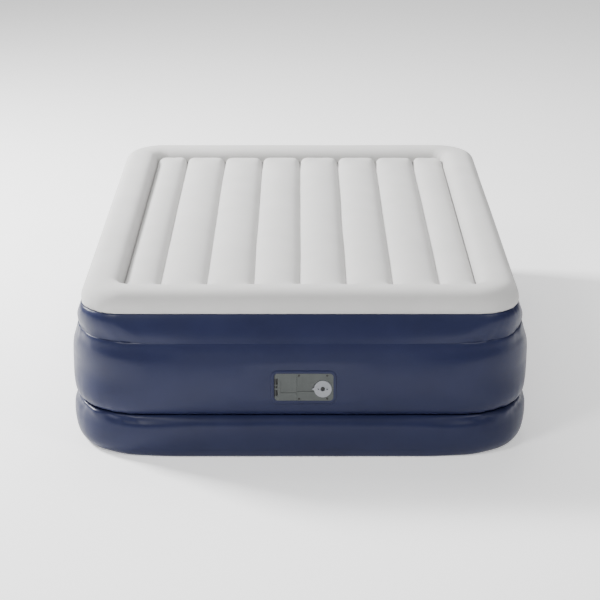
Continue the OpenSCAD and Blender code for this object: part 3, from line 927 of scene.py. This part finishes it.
class MATTRESS_OT_sleeping_surface(bpy.types.Operator):
    """Build the flocked sleeping surface with its lengthwise channels"""

    bl_idname = "mattress.sleeping_surface"
    bl_label = "Sleeping surface"

    def execute(self, context):
        edges = channel_edges()
        half_l = HALF_L - VALLEY_IN
        bm = bmesh.new()
        columns = []
        for left, right in zip(edges, edges[1:]):
            shares = [0.5 - 0.5 * math.cos(math.pi * i / CHANNEL_STEPS) for i in range(CHANNEL_STEPS)]
            columns += [left + (right - left) * share for share in shares]
        columns.append(edges[-1])
        points = [bm.verts.new((x, -half_l, 0)) for x in columns]
        chain = [bm.edges.new(pair) for pair in zip(points, points[1:])]
        spans = []
        middle = 2 * half_l - 2 * END_LENGTH
        for length, steps in ((END_LENGTH, 14), (middle, 120), (END_LENGTH, 14)):
            chain = pull(bm, chain, Vector((0, length, 0)), steps, spans)
        cut_spans(bm, spans)
        sculpt_channels(bm, edges)
        face_outwards(bm, lambda centre: Vector((0, 0, 1)))
        piece = finish_piece(bm, "sleeping_surface", "flocked_film", "deck", ["sleep_surface"])
        thicken(piece, sizes().film)
        return {"FINISHED"}


# ---------------------------------------------------------------- inner webs

RING_WEBS = {"girth_web": GIRTH_Z, "wall_tie_strip": TIE_Z}
BEAMS = (["perimeter_beam"] + [f"upper_beam_{i}" for i in range(1, 8)]
         + [f"lower_beam_{i}" for i in range(1, 4)])


def fit_ring(bm, crease_inset, height):
    """Draws a ring-shaped web in so that its outer edge follows the skin's crease inside it."""
    edge = min(inset_of(v.co, WEB_CORNER) for v in bm.verts)
    inner = VALLEY_IN
    wanted_edge = crease_inset + LIP + 0.003
    for v in bm.verts:
        inset = inset_of(v.co, WEB_CORNER)
        if inset >= inner:
            continue
        share = (inset - edge) / (inner - edge)
        new_inset = wanted_edge + (inner - wanted_edge) * share
        skin = wall_corner(height) - (wanted_edge - crease_inset)
        wanted = skin + (WEB_CORNER - inner - skin) * share
        v.co = plan_place(v.co, wanted, WEB_CORNER, new_inset)


def merged_copy(node):
    """Merged copy of a CAD node's mesh with its flat faces joined."""
    bm = bmesh.new()
    bm.from_mesh(frame["nodes"][node].data)
    bmesh.ops.remove_doubles(bm, verts=bm.verts, dist=2e-6)
    bmesh.ops.dissolve_limit(bm, angle_limit=math.radians(1.5), verts=bm.verts, edges=bm.edges,
                             delimit={"NORMAL"})
    return bm


def refined(node, name, width, segments=2):
    """Merged copy of a hard CAD piece with rounded edges, riding where the piece rides."""
    source = frame["nodes"][node]
    bm = merged_copy(node)
    piece = finish_piece(bm, name, slot_of(node), source["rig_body"], [node])
    soften(piece, width, segments)
    sharpen = piece.modifiers.new("normals", "WEIGHTED_NORMAL")
    sharpen.keep_sharp = True
    return piece


def slot_of(node):
    """The material slot that the record gives a node."""
    rows = frame["record"]["subparts"]
    return next(row["material_slot"] for row in rows if row["node"] == node)


class MATTRESS_OT_inner_webs(bpy.types.Operator):
    """Build the webs that hold the mattress in shape"""

    bl_idname = "mattress.inner_webs"
    bl_label = "Inner webs"

    def execute(self, context):
        for node, height in RING_WEBS.items():
            bm = merged_copy(node)
            crease = sizes().crease_depth if height == GIRTH_Z else TIE_IN
            fit_ring(bm, crease, height)
            piece = finish_piece(bm, f"{node}_film", "web_film", "base", [node], smooth=False)
            sink_with_air(piece) if height == GIRTH_Z else fold_over_pump(piece)
        for node in BEAMS:
            sink_with_air(finish_piece(merged_copy(node), f"{node}_film", "web_film", "base", [node],
                                       smooth=False))
        refined("channel_seams", "channel_welds", 0.0008)
        return {"FINISHED"}


# ---------------------------------------------------------------- pump

def deepen_recess(mesh):
    """Sets the shallow fields deeper, so that their edges show as grooves."""
    for vertex in mesh.vertices:
        if abs(vertex.co.y - PANEL_Y - RECESS) < 0.0001:
            vertex.co.y += RECESS


class MATTRESS_OT_pump_face(bpy.types.Operator):
    """Build the pump's face: plate, door, hinge, screws, dial and welded flange"""

    bl_idname = "mattress.pump_face"
    bl_label = "Pump face"

    def execute(self, context):
        for node, width in (("face_plate", 0.0006), ("cord_door", 0.0006), ("door_latch", 0.0004),
                            ("hinge_knuckles", 0.0006), ("panel_screws", 0.0002), ("dial", 0.0012),
                            ("dial_screw", 0.0004), ("pump_bezel", 0.0005)):
            piece = refined(node, f"{node}_part", width, 3)
            if node in ("face_plate", "cord_door"):
                deepen_recess(piece.data)
        flange = [(0.0012, 0.004), (0.0008, 0.0008), (-0.0004, 0.0002), (-0.0040, 0.0000),
                  (-0.0092, 0.0001), (-0.0104, 0.0010), (-0.0104, 0.0030), (-0.0090, 0.0042),
                  (-0.0040, 0.0046)]
        bm = sweep([(i, -h) for i, h in flange], PANEL_HALF_W, PANEL_HALF_H, 0.0125, 0.01, 10, closed=True)
        bmesh.ops.rotate(bm, verts=bm.verts, cent=(0, 0, 0), matrix=Matrix.Rotation(math.pi / 2, 3, "X"))
        bmesh.ops.translate(bm, verts=bm.verts, vec=(PANEL_MID.x, PANEL_Y, PANEL_MID.z))
        bmesh.ops.recalc_face_normals(bm, faces=bm.faces)
        finish_piece(bm, "pump_flange", "blue_film", "pump", ["pump_collar"])
        return {"FINISHED"}


INNER_PARTS = {
    "cord_tub": 0.0006, "cord_gland": 0.0004, "housing_front": 0.0006, "housing_gasket": 0.0003,
    "housing_rear": 0.0006, "housing_screws": 0.0003, "valve_drum": 0.0004, "valve_sleeve": 0.0004,
    "micro_switch": 0.0005, "motor_can": 0.0008, "motor_end_cap": 0.0005, "motor_magnets": 0.0003,
    "motor_bushes": 0.0002, "motor_brushes": 0.0002, "motor_bracket": 0.0003, "armature": 0.0003,
    "commutator": 0.0002, "impeller": 0.0003, "volute": 0.0005, "outlet_grille": 0.0003,
    "check_flap": 0.0004,
}


class MATTRESS_OT_pump_works(bpy.types.Operator):
    """Finish the pieces inside the pump"""

    bl_idname = "mattress.pump_works"
    bl_label = "Pump works"

    def execute(self, context):
        for node, width in INNER_PARTS.items():
            refined(node, f"{node}_part", width)
        for node, part in frame["nodes"].items():
            for holder in part.material_slots:
                holder.material = FINISHES[slot_of(node)]
        return {"FINISHED"}


# ---------------------------------------------------------------- stage

def softbox(name, place, aim, size, power):
    """A square area light that looks at a point."""
    lamp = bpy.data.lights.new(name, "AREA")
    lamp.shape = "RECTANGLE"
    lamp.size, lamp.size_y = size
    lamp.energy = power
    holder = bpy.data.objects.new(name, lamp)
    holder.location = place
    holder.rotation_euler = (Vector(aim) - Vector(place)).to_track_quat("-Z", "Y").to_euler()
    bpy.context.scene.collection.objects.link(holder)
    return holder


CAMERA_PLACE = (0, -6.536, 2.466)
CAMERA_TILT = 70.86      # degrees from straight down
LENS = 110.8             # mm, on a sensor 36 mm wide
FLOOR_SIZE = 60
FLOOR_DROP = 0.0005      # the floor lies this far under the mattress
FLOOR_GLOW = 0.5
SKY_STRENGTH = 0.26
LIGHTS = (               # name, place, aim, size, power
    ("key_light", (-4.6, 1.8, 3.6), (0, 0, 0.5), (1.3, 1.3), 1000),
    ("top_light", (0, 2.6, 5.0), (0, 0.2, 0), (4.0, 4.0), 200),
    ("left_light", (-2.2, -3.4, 3.9), (-0.5, -0.9, 0.2), (0.9, 1.0), 130),
    ("right_light", (2.6, -3.2, 3.9), (0.6, -0.9, 0.2), (0.8, 0.9), 70),
)


class MATTRESS_OT_stage(bpy.types.Operator):
    """Set the camera, the pale floor and the studio light"""

    bl_idname = "mattress.stage"
    bl_label = "Stage"

    def execute(self, context):
        scene = context.scene
        lens = bpy.data.cameras.new("camera")
        lens.lens = LENS
        lens.sensor_width = 36
        lens.clip_end = 200
        camera = bpy.data.objects.new("camera", lens)
        camera.location = CAMERA_PLACE
        camera.rotation_euler = (math.radians(CAMERA_TILT), 0, 0)
        scene.collection.objects.link(camera)
        scene.camera = camera
        bm = bmesh.new()
        bmesh.ops.create_grid(bm, x_segments=4, y_segments=4, size=FLOOR_SIZE)
        mesh = bpy.data.meshes.new("floor")
        bm.to_mesh(mesh)
        bm.free()
        floor = bpy.data.objects.new("floor", mesh)
        floor.location.z = -FLOOR_DROP
        scene.collection.objects.link(floor)
        material, tree, surface, place = shader("floor_paint", (0.90, 0.90, 0.90), 0.8)
        surface.inputs["Emission Color"].default_value = (1, 1, 1, 1)
        surface.inputs["Emission Strength"].default_value = FLOOR_GLOW
        surface.inputs["Specular IOR Level"].default_value = 0.1
        mesh.materials.append(material)
        world = scene.world or bpy.data.worlds.new("world")
        scene.world = world
        world.use_nodes = True
        sky = world.node_tree.nodes["Background"]
        sky.inputs["Color"].default_value = (1, 1, 1, 1)
        sky.inputs["Strength"].default_value = SKY_STRENGTH
        for light in LIGHTS:
            softbox(*light)
        return {"FINISHED"}


# ---------------------------------------------------------------- panel and run

STEPS = ("stage", "floor_sheet", "side_walls", "welds", "rim", "sleeping_surface",
         "inner_webs", "pump_face", "pump_works")


class MATTRESS_PT_build(bpy.types.Panel):
    """Lists the steps that build the air mattress"""

    bl_label = "Air Mattress"
    bl_space_type = "VIEW_3D"
    bl_region_type = "UI"
    bl_category = "Air Mattress"

    def draw(self, context):
        for step in STEPS:
            self.layout.operator(f"mattress.{step}")
        for group in (context.scene.mattress_sizes, context.scene.mattress_colours):
            for field in group.bl_rna.properties:
                if not field.is_readonly and field.identifier != "name":
                    self.layout.prop(group, field.identifier)


CLASSES = (MattressSizes, FinishColours, MATTRESS_OT_stage, MATTRESS_OT_floor_sheet,
           MATTRESS_OT_side_walls, MATTRESS_OT_welds, MATTRESS_OT_rim,
           MATTRESS_OT_sleeping_surface, MATTRESS_OT_inner_webs, MATTRESS_OT_pump_face,
           MATTRESS_OT_pump_works, MATTRESS_PT_build)


def register():
    for item in CLASSES:
        bpy.utils.register_class(item)
    bpy.types.Scene.mattress_sizes = bpy.props.PointerProperty(type=MattressSizes)
    bpy.types.Scene.mattress_colours = bpy.props.PointerProperty(type=FinishColours)


def unregister():
    del bpy.types.Scene.mattress_sizes
    del bpy.types.Scene.mattress_colours
    for item in reversed(CLASSES):
        bpy.utils.unregister_class(item)


def main():
    register()
    FINISHES.update(make_finishes())
    for step in STEPS:
        getattr(bpy.ops.mattress, step)()


if __name__ == "__main__":
    main()
